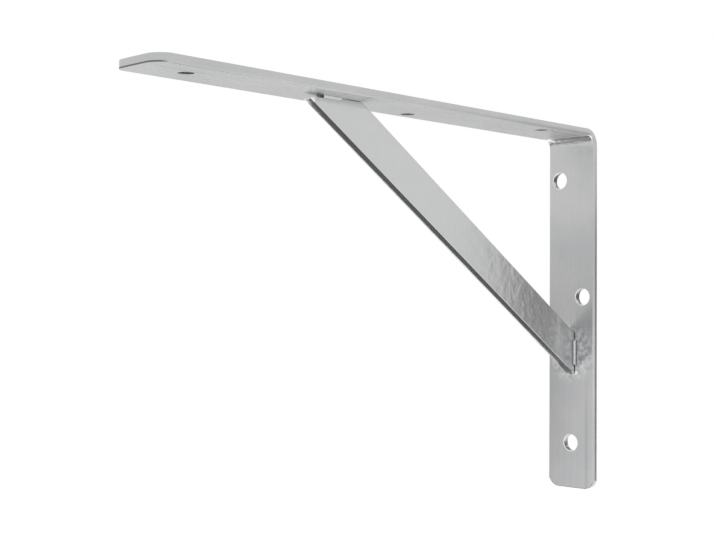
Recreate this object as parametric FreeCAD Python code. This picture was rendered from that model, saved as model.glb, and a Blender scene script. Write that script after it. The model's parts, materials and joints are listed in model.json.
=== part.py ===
import FreeCAD, Part
import os
from math import atan2, cos, degrees, hypot, sin, tan
from FreeCAD import Vector

# Gallows shelf bracket: a flat steel strap bent to a right angle, with a flat bar set
# on edge between its arm and its leg as a diagonal brace. Bright zinc-plated steel.
# Frame in mm: the wall face is the plane X = 0 and the shelf face the plane Z = 0.
# The arm runs out along +X, the leg hangs along -Z, and Y = 0 is mid-width.

# Strap: rolled flat strip, measured over its outer faces
arm_length = 300.0
leg_length = 200.0
strap_width = 30.0
strap_thickness = 4.0
side_bulge = 0.25  # of each long side, at the middle of its thickness
bend_radius = 5.0  # inside the bend
end_corner_radius = 7.0  # cropped corners, seen square on
free_end_shift = 2.2  # the free end's near corner is cropped more than that, the far one less
crop_room = 0.3  # from the strap's widest place to the start of a cropped corner
strap_edge_radius = 0.45  # all its edges

# Brace: rolled flat bar. Its inner side, drawn on, meets the strap at these two places.
brace_reach = 173.6  # out from the wall face, on the arm's underside
brace_drop = 113.1  # down from the shelf face, on the leg's front
brace_depth = 20.0
brace_thickness = 5.0
brace_bulge = 0.35  # of its two narrow sides
brace_edge_radius = 0.25

# Ends of the brace. Each has a tab near its middle, between two shoulders that stand
# a little off the strap. The tab and its slot take the load.
arm_tab_length = 10.3
arm_tab_shift = 1.4  # off the middle of the end, away from the wall
leg_tab_length = 12.8
leg_tab_shift = 0.5  # off the middle of the end, upwards
leg_gap = 0.6  # both shoulders on the leg
heel_gap = 0.3  # arm, at the brace's inner edge
heel_root_gap = 0.1  # arm, beside the tab, on the same side
tip_root_gap = 1.1  # arm, beside the tab, on the side of the tip
tip_gap = 1.6  # arm, at the tip
tip_flat = 0.9  # height of the blunted tip

# Riveted tabs. Each fills a slot, and its end is hammered into the slot's bevelled mouth.
slot_clearance = 0.1  # on each side of the tab
mouth_depth = 1.3  # of the 45 degree bevel, in from the outer face
head_below = 0.12  # from the outer face to the hammered head
swell_height = 0.9  # metal squeezed out round the foot of each tab
swell_width = 0.75

# Screw holes. Those beside the brace stand off centre, so that a driver passes it.
wall_hole_radius = 4.6
shelf_hole_radius = 3.5
hole_lip = 0.3  # rounding of the punched edge, on the side of the screw's head
break_depth = 1.8  # of the torn part of a punched wall, in from the outer face
break_spread = 0.3  # how far that part opens out
driver_room = 5.25  # from the brace's side to the middle of a hole
end_hole_margin = 25.0  # from each end of the strap to its centred hole
upper_wall_hole = 27.4  # down from the shelf face
middle_wall_hole = 93.3
inner_shelf_hole = 42.0  # out from the wall face
middle_shelf_hole = 131.5

overshoot = 1.0  # how far a cutting tool runs past the strap

brace_rise, brace_run = brace_drop - strap_thickness, brace_reach - strap_thickness
slope = atan2(brace_rise, brace_run)
arm_tab_middle = brace_reach + brace_depth / 2 / sin(slope) + arm_tab_shift
leg_tab_middle = brace_drop + brace_depth / 2 / cos(slope) - leg_tab_shift
hole_offset = brace_thickness / 2 + driver_room
wall_holes = [
    (upper_wall_hole, -hole_offset),
    (middle_wall_hole, hole_offset),
    (leg_length - end_hole_margin, 0),
]
shelf_holes = [
    (inner_shelf_hole, hole_offset),
    (middle_shelf_hole, -hole_offset),
    (arm_length - end_hole_margin, 0),
]


def flat_section(width, thickness, bulge):
    """A rolled flat's section, centred in the plane X = 0, with bulging sides at +Y and -Y."""
    side, edge, half = width / 2, width / 2 - bulge, thickness / 2
    near = Part.Arc(Vector(0, edge, half), Vector(0, side, 0), Vector(0, edge, -half))
    far = Part.Arc(Vector(0, -edge, -half), Vector(0, -side, 0), Vector(0, -edge, half))
    bottom = Part.LineSegment(near.EndPoint, far.StartPoint)
    top = Part.LineSegment(far.EndPoint, near.StartPoint)
    return Part.Face(Part.Wire([part.toShape() for part in (near, bottom, far, top)]))


def block(length, width, bottom, top):
    """A block centred on the Z axis."""
    corner = Vector(-length / 2, -width / 2, bottom)
    return Part.makeBox(length, width, top - bottom, corner)


def flared_block(length, width, bottom, top, spread):
    """A block centred on the Z axis whose four sides lean out by spread on their way up."""
    a, b = length / 2, width / 2
    solid = Part.makeWedge(-a, bottom, -b, -b - spread, -a - spread, a, top, b, b + spread, a + spread)
    solid.rotate(Vector(0, 0, 0), Vector(1, 0, 0), 90)
    return solid


# Tools and tabs are drawn on the strap's inner face, pointing up through it, and are
# then moved to their place: out along the arm's underside, or down the leg's front.
def on_arm(solid, out, across=0):
    solid.translate(Vector(out, across, -strap_thickness))
    return solid


def on_leg(solid, down, across=0):
    solid.rotate(Vector(0, 0, 0), Vector(0, 1, 0), -90)
    solid.translate(Vector(strap_thickness, across, -down))
    return solid


def sharp_edges(solid):
    """The edges where two faces meet at an angle, and not smoothly."""
    found = []
    for edge in solid.Edges:
        point = edge.valueAt((edge.FirstParameter + edge.LastParameter) / 2)
        faces = solid.ancestorsOfType(edge, Part.Face)
        normals = [face.normalAt(*face.Surface.parameter(point)) for face in faces]
        if len(normals) == 2 and normals[0].getAngle(normals[1]) > 0.1:
            found.append(edge)
    return found


def bent_strip():
    """The strip before cropping: its section drawn along the arm, round the bend and down the leg."""
    centre = strap_thickness + bend_radius
    section = flat_section(strap_width, strap_thickness, side_bulge)
    section.translate(Vector(centre, 0, -strap_thickness / 2))
    arm = section.extrude(Vector(arm_length - centre + overshoot, 0, 0))
    turn = (Vector(centre, 0, -centre), Vector(0, 1, 0), -90)
    bend = section.revolve(*turn)
    section.rotate(*turn)
    leg = section.extrude(Vector(0, 0, centre - leg_length - overshoot))
    return arm.fuse([bend, leg]).removeSplitter()


def crop_block(length, near_radius, far_radius):
    """What a crop leaves of a strip along +X: a tall block with two rounded corners."""
    half, reach = strap_width / 2 + crop_room, arm_length + leg_length
    corner = Vector(-overshoot, -half, -reach)
    solid = Part.makeBox(length + overshoot, 2 * half, 2 * reach, corner)
    for across, radius in ((half, near_radius), (-half, far_radius)):
        place = Vector(length, across, 0)
        edges = [edge for edge in solid.Edges if (edge.BoundBox.Center - place).Length < 1e-3]
        solid = solid.makeFillet(radius, edges)
    return solid


def cropped_strip():
    """The strap before punching, with all its edges rounded."""
    near, far = end_corner_radius + free_end_shift, end_corner_radius - free_end_shift
    strip = bent_strip().common(crop_block(arm_length, near, far))
    foot_block = crop_block(leg_length, end_corner_radius, end_corner_radius)
    foot_block.rotate(Vector(0, 0, 0), Vector(0, 1, 0), 90)
    strip = strip.common(foot_block)
    return strip.makeFillet(strap_edge_radius, sharp_edges(strip))


def screw_hole(radius):
    """The tool for a punched hole: a lip on the inner face, and a torn, wider part at the outer."""
    hole = Part.makeCylinder(radius, strap_thickness, Vector(0, 0, -overshoot))
    flare = Part.makeCylinder(radius + hole_lip, hole_lip + overshoot, Vector(0, 0, -overshoot))
    roll = Part.makeTorus(radius + hole_lip, hole_lip, Vector(0, 0, hole_lip))
    start, height = Vector(0, 0, strap_thickness - break_depth), break_depth + overshoot
    torn = Part.makeCone(radius, radius + break_spread * height / break_depth, height, start)
    return hole.fuse([flare.cut(roll), torn])


def slot(tab_length):
    """The tool for a tab's slot, with its bevelled mouth on the outer face."""
    length, width = tab_length + 2 * slot_clearance, brace_thickness + 2 * slot_clearance
    mouth = strap_thickness - mouth_depth
    throat = block(length, width, -overshoot, strap_thickness)
    return throat.fuse(flared_block(length, width, mouth, mouth + 2 * mouth_depth, 2 * mouth_depth))


def riveted_end(tab_length):
    """What hammering makes of a tab: a head in the slot's mouth and a swollen foot."""
    length, width = tab_length + 2 * slot_clearance, brace_thickness + 2 * slot_clearance
    mouth = strap_thickness - mouth_depth
    rise = mouth_depth - head_below
    head = flared_block(length, width, mouth, mouth + rise, rise)
    foot = flared_block(tab_length, brace_thickness, -swell_height, 0, swell_width)
    return head.fuse(foot)


def make_strap():
    strap = cropped_strip()
    for down, across in wall_holes:
        strap = strap.cut(on_leg(screw_hole(wall_hole_radius), down, across))
    for out, across in shelf_holes:
        strap = strap.cut(on_arm(screw_hole(shelf_hole_radius), out, across))
    strap = strap.cut(on_arm(slot(arm_tab_length), arm_tab_middle))
    return strap.cut(on_leg(slot(leg_tab_length), leg_tab_middle))


def bar_x(z, depth):
    """Where a line along the brace, at this depth from its inner side, is at height z."""
    return brace_reach + (z + strap_thickness) / tan(slope) + depth / sin(slope)


def bar_z(x, depth):
    return -strap_thickness - (brace_reach - x) * tan(slope) - depth / cos(slope)


def flat_bar():
    """The brace's bar at its slope, a little longer than the brace at both ends."""
    spare = 2 * brace_depth
    bar = flat_section(brace_depth, brace_thickness, brace_bulge)
    bar.rotate(Vector(0, 0, 0), Vector(1, 0, 0), 90)
    bar.translate(Vector(-spare, 0, -brace_depth / 2))
    bar = bar.extrude(Vector(hypot(brace_run, brace_rise) + 2 * spare, 0, 0))
    bar.rotate(Vector(0, 0, 0), Vector(0, 1, 0), -degrees(slope))
    bar.translate(Vector(strap_thickness, 0, -brace_drop))
    return bar.makeFillet(brace_edge_radius, sharp_edges(bar))


def make_brace():
    """The flat bar, cut to a tab between two shoulders at each end, with its ends riveted."""
    inside, outside = -overshoot, brace_depth + overshoot
    heel_z = -strap_thickness - heel_gap
    heel_root_z = -strap_thickness - heel_root_gap
    tip_root_z = -strap_thickness - tip_root_gap
    tip_z = -strap_thickness - tip_gap
    tip_x = bar_x(tip_z - tip_flat, brace_depth)
    tab_in, tab_out = arm_tab_middle - arm_tab_length / 2, arm_tab_middle + arm_tab_length / 2
    tab_top, tab_foot = leg_tab_length / 2 - leg_tab_middle, -leg_tab_length / 2 - leg_tab_middle
    shoulder_x = strap_thickness + leg_gap
    outline = [
        (bar_x(heel_z, inside), heel_z),
        (bar_x(heel_z, 0), heel_z),
        (tab_in, heel_root_z),
        (tab_in, -mouth_depth),
        (tab_out, -mouth_depth),
        (tab_out, tip_root_z),
        (tip_x, tip_z),
        (tip_x, bar_z(tip_x, outside)),
        (shoulder_x, bar_z(shoulder_x, outside)),
        (shoulder_x, tab_foot),
        (mouth_depth, tab_foot),
        (mouth_depth, tab_top),
        (shoulder_x, tab_top),
        (shoulder_x, bar_z(shoulder_x, inside)),
    ]
    corners = [Vector(x, -brace_thickness, z) for x, z in outline]
    cut = Part.Face(Part.makePolygon(corners + corners[:1])).extrude(Vector(0, 2 * brace_thickness, 0))
    brace = flat_bar().common(cut)
    brace = brace.fuse(on_arm(riveted_end(arm_tab_length), arm_tab_middle))
    return brace.fuse(on_leg(riveted_end(leg_tab_length), leg_tab_middle))


nodes = {"strap": make_strap(), "brace": make_brace()}

os.makedirs("parts", exist_ok=True)
for name, shape in nodes.items():
    print(name, "valid" if shape.isValid() else "not valid", len(shape.Solids), round(shape.Volume, 1))
    shape.exportStep(f"parts/{name}.step")
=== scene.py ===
import json
from math import atan2, hypot, pi, radians

import bpy
from mathutils import Matrix, Vector

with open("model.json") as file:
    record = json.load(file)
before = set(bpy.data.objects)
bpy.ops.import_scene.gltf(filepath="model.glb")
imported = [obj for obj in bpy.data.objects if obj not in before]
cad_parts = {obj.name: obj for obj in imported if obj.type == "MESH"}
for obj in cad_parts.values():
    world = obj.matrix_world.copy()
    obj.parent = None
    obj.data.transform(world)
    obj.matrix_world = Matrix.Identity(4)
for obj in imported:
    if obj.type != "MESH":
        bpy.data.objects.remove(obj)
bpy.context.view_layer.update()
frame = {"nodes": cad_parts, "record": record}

# Strap. Mild steel flat, hot rolled to 30 x 4 mm with rounded-out sides, then cropped,
# punched and bent once, and plated with bright zinc. It carries the shelf on its arm and
# is screwed to the wall through its leg.
mm = 0.001
strap = frame["nodes"]["strap"]
strap_thickness = 4 * mm
arm_length, leg_length = 300 * mm, 200 * mm


def linear(hex_colour):
    """An sRGB hex colour as the linear RGBA that a shader takes."""
    channels = [int(hex_colour[i:i + 2], 16) / 255 for i in (1, 3, 5)]
    return [c / 12.92 if c <= 0.04045 else ((c + 0.055) / 1.055) ** 2.4 for c in channels] + [1.0]


def add_node(tree, kind, links=None, **settings):
    """Adds a node with its settings. Each link is an input and the socket or value it takes."""
    node = tree.nodes.new(kind)
    for name, value in settings.items():
        setattr(node, name, value)
    for key, value in (links or {}).items():
        socket = node.inputs[key]
        if isinstance(value, bpy.types.NodeSocket):
            tree.links.new(value, socket)
        else:
            socket.default_value = value
    return node


def new_material(name):
    """A material with nothing in it but its output, as the material, its tree and that output."""
    material = bpy.data.materials.new(name)
    material.use_nodes = True
    material.node_tree.nodes.clear()
    return material, material.node_tree, add_node(material.node_tree, "ShaderNodeOutputMaterial")


# Bright zinc, electroplated on the rolled strip: a pale, cool grey mirror that the plating
# hazes, so that what it reflects is soft. It keeps the strip's rolling lines, and has
# faint cloudy patches where the bath was slower.
slow_zinc, full_zinc, black = "#babbbc", "#c0c0c0", (0, 0, 0, 1)
clear_roughness, hazy_roughness = 0.24, 0.32
noise_low, noise_high = 0.35, 0.65  # most of a noise lies between these
material, tree, output = new_material("bright_zinc_on_rolled_strip")
place = add_node(tree, "ShaderNodeTexCoord").outputs["Object"]
xyz = add_node(tree, "ShaderNodeSeparateXYZ", {0: place}).outputs
down = add_node(
    tree, "ShaderNodeMath", {0: xyz["Z"], 1: -1.0}, operation="MULTIPLY"
).outputs[0]
# Along the strip and through it from its outer face, the same on the arm as on the leg.
along = add_node(
    tree, "ShaderNodeMath", {0: xyz["X"], 1: down}, operation="MAXIMUM"
).outputs[0]
through = add_node(
    tree, "ShaderNodeMath", {0: xyz["X"], 1: down}, operation="MINIMUM"
).outputs[0]
strip_place = add_node(
    tree, "ShaderNodeCombineXYZ", {0: along, 1: xyz["Y"], 2: through}
).outputs[0]

# Rolling lines are about 0.1 mm apart on the real strip. They are drawn 0.7 mm apart here,
# so that they show, and run on for about 90 mm.
line_spacing, line_run, line_depth = 0.7 * mm, 90 * mm, 0.006 * mm
broad_line_spacing = 3.5 * mm
cloud_width, cloud_depth = 28 * mm, 0.12 * mm
stretched = add_node(
    tree, "ShaderNodeVectorMath", {0: strip_place, 1: (line_spacing / line_run, 1.0, 1.0)},
    operation="MULTIPLY",
).outputs[0]
lines = add_node(
    tree, "ShaderNodeTexNoise",
    {"Vector": stretched, "Scale": 1 / line_spacing, "Detail": 2.0},
).outputs[0]
broad_lines = add_node(
    tree, "ShaderNodeTexNoise",
    {"Vector": stretched, "Scale": 1 / broad_line_spacing, "Detail": 1.0},
).outputs[0]
clouds = add_node(
    tree, "ShaderNodeTexNoise",
    {"Vector": strip_place, "Scale": 1 / cloud_width, "Detail": 3.0},
).outputs[0]
cloudy = add_node(
    tree, "ShaderNodeMapRange",
    {"Value": clouds, "From Min": noise_low, "From Max": noise_high},
    interpolation_type="SMOOTHSTEP",
).outputs[0]
tone = add_node(
    tree, "ShaderNodeMix", {0: cloudy, 6: linear(slow_zinc), 7: linear(full_zinc)},
    data_type="RGBA",
).outputs[2]
rough = add_node(
    tree, "ShaderNodeMapRange",
    {
        "Value": broad_lines, "From Min": 0.3, "From Max": 0.7,
        "To Min": clear_roughness, "To Max": hazy_roughness,
    },
).outputs[0]
rolled = add_node(
    tree, "ShaderNodeBump", {"Height": lines, "Strength": 0.5, "Distance": line_depth}
).outputs[0]
wavy = add_node(
    tree, "ShaderNodeBump",
    {"Height": clouds, "Strength": 1.0, "Distance": cloud_depth, "Normal": rolled},
).outputs[0]

# A faint darker line, about 2 mm wide, runs down the lower leg.
mark_middle, mark_edge, mark_core = 10.5 * mm, 1.3 * mm, 0.4 * mm  # across the strap
mark_top, mark_full, mark_darkness = 135 * mm, 160 * mm, 0.13
off_mark = add_node(
    tree, "ShaderNodeMath", {0: xyz["Y"], 1: mark_middle}, operation="SUBTRACT"
).outputs[0]
off_mark = add_node(tree, "ShaderNodeMath", {0: off_mark}, operation="ABSOLUTE").outputs[0]
on_mark = add_node(
    tree, "ShaderNodeMapRange",
    {"Value": off_mark, "From Min": mark_edge, "From Max": mark_core, "To Max": mark_darkness},
).outputs[0]
low_leg = add_node(
    tree, "ShaderNodeMapRange", {"Value": down, "From Min": mark_top, "From Max": mark_full}
).outputs[0]
dark_leg_line = add_node(
    tree, "ShaderNodeMath", {0: on_mark, 1: low_leg}, operation="MULTIPLY"
).outputs[0]
tone = add_node(
    tree, "ShaderNodeMix", {0: dark_leg_line, 6: tone, 7: black}, data_type="RGBA"
).outputs[2]

# Painted shade: the narrow corner above the joint, between the leg and the brace, is
# painted a little greyer, and the inner face close to the joint has painted spots of
# shade and light, about 2.5 mm across.
corner_middle, joint_middle = (4 * mm, 0, -84 * mm), (4 * mm, 0, -124 * mm)
corner_edge, corner_core, painted_corner_shade = 50 * mm, 12 * mm, 0.13
spots_edge, spots_core = 20 * mm, 8 * mm
spot_width, dark_spot, bright_spot = 2.5 * mm, 0.8, 1.58
inner_starts, inner_full = 3.75 * mm, 3.98 * mm  # through the strap
to_corner = add_node(
    tree, "ShaderNodeVectorMath", {0: place, 1: corner_middle}, operation="DISTANCE"
).outputs["Value"]
in_corner = add_node(
    tree, "ShaderNodeMapRange",
    {
        "Value": to_corner, "From Min": corner_edge, "From Max": corner_core,
        "To Max": painted_corner_shade,
    },
    interpolation_type="SMOOTHSTEP",
).outputs[0]
tone = add_node(
    tree, "ShaderNodeMix", {0: in_corner, 6: tone, 7: black}, data_type="RGBA"
).outputs[2]
to_joint = add_node(
    tree, "ShaderNodeVectorMath", {0: place, 1: joint_middle}, operation="DISTANCE"
).outputs["Value"]
near_joint = add_node(
    tree, "ShaderNodeMapRange",
    {"Value": to_joint, "From Min": spots_edge, "From Max": spots_core},
    interpolation_type="SMOOTHSTEP",
).outputs[0]
inside = add_node(
    tree, "ShaderNodeMapRange",
    {"Value": through, "From Min": inner_starts, "From Max": inner_full},
).outputs[0]
near_joint = add_node(
    tree, "ShaderNodeMath", {0: near_joint, 1: inside}, operation="MULTIPLY"
).outputs[0]
# Painted shade and light, in spots around the joint.
spots = add_node(
    tree, "ShaderNodeTexNoise", {"Vector": place, "Scale": 1 / spot_width, "Detail": 3.0}
).outputs[0]
painted_spot_shading = add_node(
    tree, "ShaderNodeMapRange",
    {
        "Value": spots, "From Min": noise_low, "From Max": noise_high,
        "To Min": dark_spot, "To Max": bright_spot,
    },
).outputs[0]
tone = add_node(
    tree, "ShaderNodeMix", {0: near_joint, 6: tone, 7: painted_spot_shading},
    data_type="RGBA", blend_type="MULTIPLY",
).outputs[2]

# Painted shadow: a dark line is painted on both sides of the tab's swollen foot, in the
# groove beside it, and a painted highlight is on the strap under the brace's lowest corner.
groove_shadow_tone, corner_highlight_tone = "#8f8f8f", "#f2f2f2"
groove_middle, groove_half_width = 3.7 * mm, 0.6 * mm  # across the strap
tab_middle, tab_half_length = 124.5 * mm, 7.2 * mm  # down the leg
strap_highlight_middle, strap_highlight_edge, strap_highlight_core = (4 * mm, 3.6 * mm, -135.8 * mm), 1.5 * mm, 0.7 * mm
across = add_node(tree, "ShaderNodeMath", {0: xyz["Y"]}, operation="ABSOLUTE").outputs[0]
beside_tab = add_node(
    tree, "ShaderNodeMath", {0: across, 1: groove_middle, 2: groove_half_width},
    operation="COMPARE",
).outputs[0]
at_tab = add_node(
    tree, "ShaderNodeMath", {0: down, 1: tab_middle, 2: tab_half_length}, operation="COMPARE"
).outputs[0]
painted_groove_shadow = add_node(
    tree, "ShaderNodeMath", {0: beside_tab, 1: at_tab}, operation="MULTIPLY"
).outputs[0]
tone = add_node(
    tree, "ShaderNodeMix", {0: painted_groove_shadow, 6: tone, 7: linear(groove_shadow_tone)}, data_type="RGBA"
).outputs[2]
# Painted highlight on the strap under the brace's lowest corner.
to_strap_highlight = add_node(
    tree, "ShaderNodeVectorMath", {0: place, 1: strap_highlight_middle}, operation="DISTANCE"
).outputs["Value"]
painted_strap_highlight = add_node(
    tree, "ShaderNodeMapRange",
    {"Value": to_strap_highlight, "From Min": strap_highlight_edge, "From Max": strap_highlight_core},
).outputs[0]
tone = add_node(
    tree, "ShaderNodeMix", {0: painted_strap_highlight, 6: tone, 7: linear(corner_highlight_tone)}, data_type="RGBA"
).outputs[2]

# Cut faces: in the holes and on the cropped ends the blade shears some of the thickness
# and tears the rest, which stays dark and grainy under thin zinc. In the holes the dark tone
# is laid in patches over the wall down to the rim, partly for that torn metal and partly as
# painted shade inside the hole. The grain is about 0.4 mm.
torn_and_shaded_tone, torn_roughness = "#707070", 0.4
torn_spread = 0.3 * mm  # how far a punched hole opens out
bore_depth = 2.75 * mm  # from the outer face to the middle of a bore's straight part
to_middle = strap_thickness / 2 - bore_depth
lip_depth = 3.6 * mm  # from the outer face to the rounded rim of a hole
patch_width, patch_edge, patch_core = 5 * mm, 0.46, 0.5
grain_width, grain_depth = 0.4 * mm, 0.06 * mm
beyond_wall = 1.0  # in metres, farther than any hole
for mount in frame["record"]["mounts"]:
    if mount["kind"] == "bore":
        hole_middle = Vector(mount["pos_m"]) + Vector(mount["axis"]) * to_middle
        reach = hypot(mount["dims"]["r_mm"] * mm + torn_spread, strap_thickness / 2)
        away = add_node(
            tree, "ShaderNodeVectorMath", {0: place, 1: hole_middle}, operation="DISTANCE"
        ).outputs["Value"]
        beyond = add_node(
            tree, "ShaderNodeMath", {0: away, 1: reach}, operation="SUBTRACT"
        ).outputs[0]
        beyond_wall = add_node(
            tree, "ShaderNodeMath", {0: beyond, 1: beyond_wall}, operation="MINIMUM"
        ).outputs[0]
on_wall = add_node(
    tree, "ShaderNodeMath", {0: beyond_wall, 1: 0.0}, operation="LESS_THAN"
).outputs[0]
below_lip = add_node(
    tree, "ShaderNodeMath", {0: through, 1: lip_depth}, operation="LESS_THAN"
).outputs[0]
cut_places = add_node(
    tree, "ShaderNodeMath", {0: on_wall, 1: below_lip}, operation="MULTIPLY"
).outputs[0]
patches = add_node(
    tree, "ShaderNodeTexNoise", {"Vector": place, "Scale": 1 / patch_width, "Detail": 1.0}
).outputs[0]
dark_wall_patch = add_node(
    tree, "ShaderNodeMapRange",
    {"Value": patches, "From Min": patch_edge, "From Max": patch_core},
).outputs[0]
torn_and_shaded_wall = add_node(
    tree, "ShaderNodeMath", {0: cut_places, 1: dark_wall_patch}, operation="MULTIPLY"
).outputs[0]

# Painted highlight on the rounded rims of the leg's holes.
rim_highlight_tone, leg_starts = "#f0f0f0", 10 * mm
painted_rim_highlight = add_node(
    tree, "ShaderNodeMath", {0: on_wall, 1: cut_places}, operation="SUBTRACT"
).outputs[0]
on_leg = add_node(
    tree, "ShaderNodeMath", {0: down, 1: leg_starts}, operation="GREATER_THAN"
).outputs[0]
painted_rim_highlight = add_node(tree, "ShaderNodeMath", {0: painted_rim_highlight, 1: on_leg}, operation="MULTIPLY").outputs[0]
tone = add_node(
    tree, "ShaderNodeMix", {0: painted_rim_highlight, 6: tone, 7: linear(rim_highlight_tone)}, data_type="RGBA"
).outputs[2]

# The cropped ends are torn in a band under the inner face.
arm_end_starts, arm_end_full = arm_length - 5.5 * mm, arm_length - 3 * mm
leg_end_starts, leg_end_full = leg_length - 5 * mm, leg_length - 3 * mm
band_middle, band_half_width = 3.55 * mm, 0.33 * mm  # through the strap
on_arm_end = add_node(
    tree, "ShaderNodeMapRange",
    {"Value": xyz["X"], "From Min": arm_end_starts, "From Max": arm_end_full},
).outputs[0]
on_leg_end = add_node(
    tree, "ShaderNodeMapRange",
    {"Value": down, "From Min": leg_end_starts, "From Max": leg_end_full},
).outputs[0]
on_end = add_node(
    tree, "ShaderNodeMath", {0: on_arm_end, 1: on_leg_end}, operation="MAXIMUM"
).outputs[0]
near_inner = add_node(
    tree, "ShaderNodeMath", {0: through, 1: band_middle, 2: band_half_width},
    operation="COMPARE",
).outputs[0]
torn_end = add_node(
    tree, "ShaderNodeMath", {0: on_end, 1: near_inner}, operation="MULTIPLY"
).outputs[0]
torn_and_shaded = add_node(
    tree, "ShaderNodeMath", {0: torn_and_shaded_wall, 1: torn_end}, operation="MAXIMUM"
).outputs[0]
grain = add_node(
    tree, "ShaderNodeTexNoise", {"Vector": place, "Scale": 1 / grain_width, "Detail": 2.0}
).outputs[0]
torn_grain = add_node(
    tree, "ShaderNodeMath", {0: grain, 1: torn_and_shaded}, operation="MULTIPLY"
).outputs[0]
# Dark tone of the torn metal, with painted shade inside the holes.
tone = add_node(
    tree, "ShaderNodeMix", {0: torn_and_shaded, 6: tone, 7: linear(torn_and_shaded_tone)}, data_type="RGBA"
).outputs[2]
rough = add_node(tree, "ShaderNodeMix", {0: torn_and_shaded, 2: rough, 3: torn_roughness}).outputs[0]
grainy = add_node(
    tree, "ShaderNodeBump",
    {"Height": torn_grain, "Strength": 1.0, "Distance": grain_depth, "Normal": wavy},
).outputs[0]

# Bend: its inside is painted brighter, as painted light in the hollow of the bend, and the
# squeezed skin there is rough like orange peel, about 1.2 mm across.
bend_light_tone, pressed_roughness = "#f0f0ef", 0.2
bend_edge, bend_core = 12 * mm, 8 * mm  # along the strap, from the corner
bend_light_starts, bend_light_full = 4.4 * mm, 5.6 * mm  # out from the wall
bend_light_ends, bend_light_still_full = 14 * mm, 8.5 * mm
peel_width, peel_depth = 1.2 * mm, 0.2 * mm
at_bend = add_node(
    tree, "ShaderNodeMapRange", {"Value": along, "From Min": bend_edge, "From Max": bend_core},
    interpolation_type="SMOOTHSTEP",
).outputs[0]
pressed = add_node(
    tree, "ShaderNodeMath", {0: at_bend, 1: inside}, operation="MULTIPLY"
).outputs[0]
rough = add_node(
    tree, "ShaderNodeMix", {0: pressed, 2: rough, 3: pressed_roughness}
).outputs[0]
past_middle = add_node(
    tree, "ShaderNodeMapRange",
    {"Value": xyz["X"], "From Min": bend_light_starts, "From Max": bend_light_full},
).outputs[0]
before_arm = add_node(
    tree, "ShaderNodeMapRange",
    {"Value": xyz["X"], "From Min": bend_light_ends, "From Max": bend_light_still_full},
    interpolation_type="SMOOTHSTEP",
).outputs[0]
# Painted light on the inside of the bend.
painted_bend_light = add_node(
    tree, "ShaderNodeMath", {0: past_middle, 1: before_arm}, operation="MULTIPLY"
).outputs[0]
painted_bend_light = add_node(
    tree, "ShaderNodeMath", {0: painted_bend_light, 1: inside}, operation="MULTIPLY"
).outputs[0]
tone = add_node(
    tree, "ShaderNodeMix", {0: painted_bend_light, 6: tone, 7: linear(bend_light_tone)}, data_type="RGBA"
).outputs[2]
peel = add_node(
    tree, "ShaderNodeTexNoise", {"Vector": place, "Scale": 1 / peel_width, "Detail": 2.0}
).outputs[0]
bend_peel = add_node(
    tree, "ShaderNodeMath", {0: peel, 1: pressed}, operation="MULTIPLY"
).outputs[0]
peeled = add_node(
    tree, "ShaderNodeBump",
    {"Height": bend_peel, "Strength": 1.0, "Distance": peel_depth, "Normal": grainy},
).outputs[0]

# The underside of the arm next to the bend, where the tool held it, is dull and mirrors
# less.
strap_metallic, held_metallic = 0.9, 0.2
held_edge, held_core = 48 * mm, 22 * mm  # out from the wall
flat_starts, flat_full = 8 * mm, 10 * mm
held = add_node(
    tree, "ShaderNodeMapRange",
    {"Value": xyz["X"], "From Min": held_edge, "From Max": held_core},
    interpolation_type="SMOOTHSTEP",
).outputs[0]
off_bend = add_node(
    tree, "ShaderNodeMapRange",
    {"Value": xyz["X"], "From Min": flat_starts, "From Max": flat_full},
).outputs[0]
held = add_node(
    tree, "ShaderNodeMath", {0: held, 1: off_bend}, operation="MULTIPLY"
).outputs[0]
held = add_node(tree, "ShaderNodeMath", {0: held, 1: inside}, operation="MULTIPLY").outputs[0]
metallic = add_node(
    tree, "ShaderNodeMix", {0: held, 2: strap_metallic, 3: held_metallic}
).outputs[0]
shader = add_node(
    tree, "ShaderNodeBsdfPrincipled",
    {"Base Color": tone, "Metallic": metallic, "Roughness": rough, "Normal": peeled},
)
tree.links.new(shader.outputs[0], output.inputs["Surface"])
strap.data.materials.clear()
strap.data.materials.append(material)

# Brace. Flat steel bar, rolled to 20 x 5 mm with rounded-out narrow sides. Each end is cut
# to a tab between two shoulders, put through a slot in the strap and hammered over behind
# it. It is plated together with the strap.
brace = frame["nodes"]["brace"]
brace_drop, brace_run = 109.1 * mm, 169.6 * mm
head_depth = 1.4 * mm  # of the hammered ends, in from the strap's outer faces

# Bright zinc on the smoother faces of the bar: clearer than on the strap, so that the
# edge of a reflection is sharp, but the bar isn't quite flat and mottles it. Its narrow
# sides keep coarse rolling lines.
slow_zinc, full_zinc = "#c3c4c5", "#c8c8c8"
line_spacing, line_run, line_depth = 0.8 * mm, 50 * mm, 0.06 * mm
mottle_width, mottle_depth = 5 * mm, 0.06 * mm
wide_facing, narrow_facing = 0.8, 0.5  # how far a face looks along the strap's width
material, tree, output = new_material("bright_zinc_on_rolled_bar")
coordinates = add_node(tree, "ShaderNodeTexCoord").outputs
place = coordinates["Object"]
xyz = add_node(tree, "ShaderNodeSeparateXYZ", {0: place}).outputs
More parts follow.
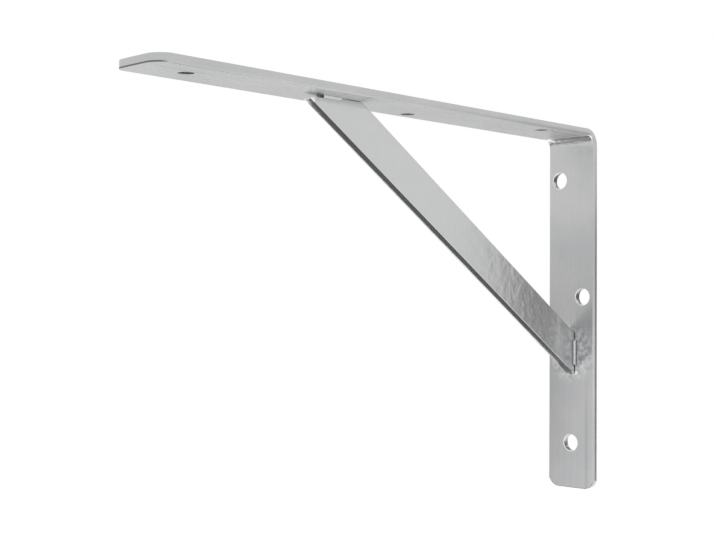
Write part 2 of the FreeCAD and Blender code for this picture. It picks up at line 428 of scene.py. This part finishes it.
# Turned to the bar's own length.
bar_place = add_node(
    tree, "ShaderNodeVectorRotate", {"Vector": place, "Angle": atan2(brace_drop, brace_run)},
    rotation_type="Y_AXIS",
).outputs[0]
facing = add_node(tree, "ShaderNodeSeparateXYZ", {0: coordinates["Normal"]}).outputs["Y"]
facing = add_node(tree, "ShaderNodeMath", {0: facing}, operation="ABSOLUTE").outputs[0]
narrow = add_node(
    tree, "ShaderNodeMapRange",
    {"Value": facing, "From Min": wide_facing, "From Max": narrow_facing},
    interpolation_type="SMOOTHSTEP",
).outputs[0]
stretched = add_node(
    tree, "ShaderNodeVectorMath", {0: bar_place, 1: (line_spacing / line_run, 1.0, 1.0)},
    operation="MULTIPLY",
).outputs[0]
lines = add_node(
    tree, "ShaderNodeTexNoise",
    {"Vector": stretched, "Scale": 1 / line_spacing, "Detail": 2.0},
).outputs[0]
mottle = add_node(
    tree, "ShaderNodeTexNoise",
    {"Vector": bar_place, "Scale": 1 / mottle_width, "Detail": 3.0},
).outputs[0]
tone = add_node(
    tree, "ShaderNodeMix", {0: mottle, 6: linear(slow_zinc), 7: linear(full_zinc)},
    data_type="RGBA",
).outputs[2]
ridges = add_node(
    tree, "ShaderNodeMath", {0: lines, 1: narrow}, operation="MULTIPLY"
).outputs[0]
rolled = add_node(
    tree, "ShaderNodeBump", {"Height": ridges, "Strength": 1.0, "Distance": line_depth}
).outputs[0]
wavy = add_node(
    tree, "ShaderNodeBump",
    {"Height": mottle, "Strength": 1.0, "Distance": mottle_depth, "Normal": rolled},
).outputs[0]

# Towards the leg's joint it has spots of painted shade and light as the strap has, over a longer
# way but less.
spots_edge, spots_core = 75 * mm, 25 * mm
dark_spot, bright_spot = 0.87, 1.08
to_joint = add_node(
    tree, "ShaderNodeVectorMath", {0: place, 1: joint_middle}, operation="DISTANCE"
).outputs["Value"]
near_joint = add_node(
    tree, "ShaderNodeMapRange",
    {"Value": to_joint, "From Min": spots_edge, "From Max": spots_core},
    interpolation_type="SMOOTHSTEP",
).outputs[0]
spots = add_node(
    tree, "ShaderNodeTexNoise", {"Vector": place, "Scale": 1 / spot_width, "Detail": 3.0}
).outputs[0]
painted_spot_shading = add_node(
    tree, "ShaderNodeMapRange",
    {
        "Value": spots, "From Min": noise_low, "From Max": noise_high,
        "To Min": dark_spot, "To Max": bright_spot,
    },
).outputs[0]
tone = add_node(
    tree, "ShaderNodeMix", {0: near_joint, 6: tone, 7: painted_spot_shading},
    data_type="RGBA", blend_type="MULTIPLY",
).outputs[2]

# Painted highlight on its blunt tip at the arm and on its lowest corner.
tip_and_corner_highlight_tone = "#f6f6f6"
tip_starts, corner_top = 204.4 * mm, -135.2 * mm
on_tip = add_node(
    tree, "ShaderNodeMath", {0: xyz["X"], 1: tip_starts}, operation="GREATER_THAN"
).outputs[0]
in_corner = add_node(
    tree, "ShaderNodeMath", {0: xyz["Z"], 1: corner_top}, operation="LESS_THAN"
).outputs[0]
cut_places = add_node(
    tree, "ShaderNodeMath", {0: on_tip, 1: in_corner}, operation="MAXIMUM"
).outputs[0]
tone = add_node(
    tree, "ShaderNodeMix", {0: cut_places, 6: tone, 7: linear(tip_and_corner_highlight_tone)}, data_type="RGBA"
).outputs[2]

# Painted shade on the swollen foot of the arm's tab, where the brace meets the arm's underside.
foot_starts, foot_full, foot_shade = -5.6 * mm, -5.0 * mm, 0.12
painted_foot_shade = add_node(
    tree, "ShaderNodeMapRange",
    {
        "Value": xyz["Z"], "From Min": foot_starts, "From Max": foot_full,
        "To Max": foot_shade,
    },
).outputs[0]
tone = add_node(
    tree, "ShaderNodeMix", {0: painted_foot_shade, 6: tone, 7: black}, data_type="RGBA"
).outputs[2]

# Hammered ends: blows of a ball hammer leave dents about 2 mm across. They are dull, and
# the bar grows duller towards the leg's joint too.
dent_width, dent_depth = 2 * mm, 0.3 * mm
dull_edge, dull_core, dull_share = 45 * mm, 15 * mm, 0.5
bar_roughness, head_roughness = 0.14, 0.32
down = add_node(
    tree, "ShaderNodeMath", {0: xyz["Z"], 1: -1.0}, operation="MULTIPLY"
).outputs[0]
through = add_node(
    tree, "ShaderNodeMath", {0: xyz["X"], 1: down}, operation="MINIMUM"
).outputs[0]
on_head = add_node(
    tree, "ShaderNodeMath", {0: through, 1: head_depth}, operation="LESS_THAN"
).outputs[0]
dents = add_node(
    tree, "ShaderNodeTexVoronoi", {"Vector": place, "Scale": 1 / dent_width, "Smoothness": 0.6},
    feature="SMOOTH_F1",
).outputs["Distance"]
head_dents = add_node(
    tree, "ShaderNodeMath", {0: dents, 1: on_head}, operation="MULTIPLY"
).outputs[0]
hammered = add_node(
    tree, "ShaderNodeBump",
    {"Height": head_dents, "Strength": 1.0, "Distance": dent_depth, "Normal": wavy},
).outputs[0]
dulled = add_node(
    tree, "ShaderNodeMapRange",
    {"Value": to_joint, "From Min": dull_edge, "From Max": dull_core, "To Max": dull_share},
).outputs[0]
dulled = add_node(
    tree, "ShaderNodeMath", {0: dulled, 1: on_head}, operation="MAXIMUM"
).outputs[0]
rough = add_node(
    tree, "ShaderNodeMix", {0: dulled, 2: bar_roughness, 3: head_roughness}
).outputs[0]
shader = add_node(
    tree, "ShaderNodeBsdfPrincipled",
    {"Base Color": tone, "Metallic": 0.92, "Roughness": rough, "Normal": hammered},
)
tree.links.new(shader.outputs[0], output.inputs["Surface"])
brace.data.materials.clear()
brace.data.materials.append(material)

# Floor of the studio: matt white, well below the bracket, which hangs free. Camera and
# metal see it clear white, and it still takes the bracket's shadow.
floor_z, floor_radius, floor_glow = -0.45, 1.6, 0.3


def seen_by_eye(tree):
    """One for the camera's rays and for what metal and glass show, and zero for plain light."""
    path = add_node(tree, "ShaderNodeLightPath").outputs
    glossy = add_node(
        tree, "ShaderNodeMath", {0: path["Is Camera Ray"], 1: path["Is Glossy Ray"]},
        operation="MAXIMUM",
    ).outputs[0]
    return add_node(
        tree, "ShaderNodeMath", {0: glossy, 1: path["Is Transmission Ray"]},
        operation="MAXIMUM",
    ).outputs[0]


bpy.ops.mesh.primitive_circle_add(
    vertices=96, radius=floor_radius, fill_type="NGON", location=(0.1, 0, floor_z)
)
floor = bpy.context.object
floor.name = "floor"
material, tree, output = new_material("matt_white_floor")
matt = add_node(tree, "ShaderNodeBsdfDiffuse", {"Color": linear("#f6f6f6")})
clear = add_node(
    tree, "ShaderNodeMath", {0: seen_by_eye(tree), 1: floor_glow}, operation="MULTIPLY"
).outputs[0]
glow = add_node(tree, "ShaderNodeEmission", {"Strength": clear})
both = add_node(tree, "ShaderNodeAddShader", {0: matt.outputs[0], 1: glow.outputs[0]})
tree.links.new(both.outputs[0], output.inputs["Surface"])
floor.data.materials.append(material)


# Painted boards, which only the metal's reflections show. A grey one and a pale one stand
# behind the wall's plane. Two dark cards are on the far side of the brace: one stands, with
# a top that slopes as the brace does, and one lies on the floor.
def add_board(name, corners, colour):
    """A flat board between corners in metres."""
    mesh = bpy.data.meshes.new(name)
    mesh.from_pydata(corners, [], [tuple(range(len(corners)))])
    board = bpy.data.objects.new(name, mesh)
    bpy.context.collection.objects.link(board)
    material, tree, output = new_material("matt_" + name)
    matt = add_node(tree, "ShaderNodeBsdfDiffuse", {"Color": linear(colour)})
    tree.links.new(matt.outputs[0], output.inputs["Surface"])
    mesh.materials.append(material)
    board.visible_camera = board.visible_shadow = board.visible_diffuse = False


back_x, back_top = -1.2, 0.075
grey_left, grey_right, pale_right = 0.995, -0.74, -2.4
for name, left, right, colour in (
    ("grey_board", grey_left, grey_right, "#898989"),
    ("pale_board", grey_right, pale_right, "#d9d9d9"),
):
    outline = ((left, floor_z), (right, floor_z), (right, back_top), (left, back_top))
    add_board(name, [(back_x, y, z) for y, z in outline], colour)
card_y = -0.15
standing_outline = (
    (-0.095, floor_z),
    (0.145, floor_z),
    (0.145, -0.22),
    (0.172, -0.19),
    (0.172, -0.078),
    (0.12, -0.122),
    (-0.095, -0.271),
)
add_board("standing_card", [(x, card_y, z) for x, z in standing_outline], "#626262")
card_z = floor_z + 0.002  # just clear of the floor
lying_outline = (
    (-0.145, -0.30), (0.06, -0.30), (0.09, -0.45), (0.25, -0.45), (0.25, -0.08), (-0.145, -0.08)
)
add_board("lying_card", [(x, y, card_z) for x, y in lying_outline], "#585858")

# Light: an even white room, and a small soft lamp to the left of the bracket, a little below
# the arm, which lights the underside of the arm beside the brace.
lamp_middle, lamp_aim = Vector((-0.361, 0.578, -0.135)), Vector((0.195, 0.0025, -0.008))
half_width, half_height = 0.08, 0.06
lamp_strength = 1.6
plain_light, seen_light = 0.95, 1.0
mesh = bpy.data.meshes.new("soft_lamp")
mesh.from_pydata(
    [
        (-half_width, -half_height, 0),
        (half_width, -half_height, 0),
        (half_width, half_height, 0),
        (-half_width, half_height, 0),
    ],
    [],
    [(0, 1, 2, 3)],
)
lamp = bpy.data.objects.new("soft_lamp", mesh)
bpy.context.collection.objects.link(lamp)
lamp.location = lamp_middle
lamp.rotation_euler = (lamp_middle - lamp_aim).to_track_quat("-Z", "Y").to_euler()
material, tree, output = new_material("lit_lamp_cloth")
glow = add_node(tree, "ShaderNodeEmission", {"Strength": lamp_strength})
tree.links.new(glow.outputs[0], output.inputs["Surface"])
mesh.materials.append(material)
lamp.visible_camera = False

world = bpy.data.worlds.new("white_room")
bpy.context.scene.world = world
world.use_nodes = True
tree = world.node_tree
tree.nodes.clear()
strength = add_node(
    tree, "ShaderNodeMapRange",
    {"Value": seen_by_eye(tree), "To Min": plain_light, "To Max": seen_light},
).outputs[0]
background = add_node(
    tree, "ShaderNodeBackground", {"Color": (1, 1, 1, 1), "Strength": strength}
)
add_node(tree, "ShaderNodeOutputWorld", {"Surface": background.outputs[0]})

# Camera at the photograph's view: level with the middle of the leg, off to one side and
# looking slightly up.
camera_place = Vector((595.3, 422.1, -101.2)) * mm
yaw, pitch, roll = radians(225.02), radians(1.77), radians(0.41)
focal_px, image_width, sensor_width = 1273.2, 716, 36.0
camera = bpy.data.objects.new("camera", bpy.data.cameras.new("camera"))
bpy.context.collection.objects.link(camera)
camera.data.sensor_width = sensor_width
camera.data.lens = focal_px * sensor_width / image_width
camera.data.clip_start = 0.01
camera.matrix_world = (
    Matrix.Translation(camera_place)
    @ Matrix.Rotation(yaw - pi / 2, 4, "Z")
    @ Matrix.Rotation(pi / 2 + pitch, 4, "X")
    @ Matrix.Rotation(roll, 4, "Z")
)
bpy.context.scene.camera = camera
bpy.context.scene.view_settings.view_transform = "Standard"
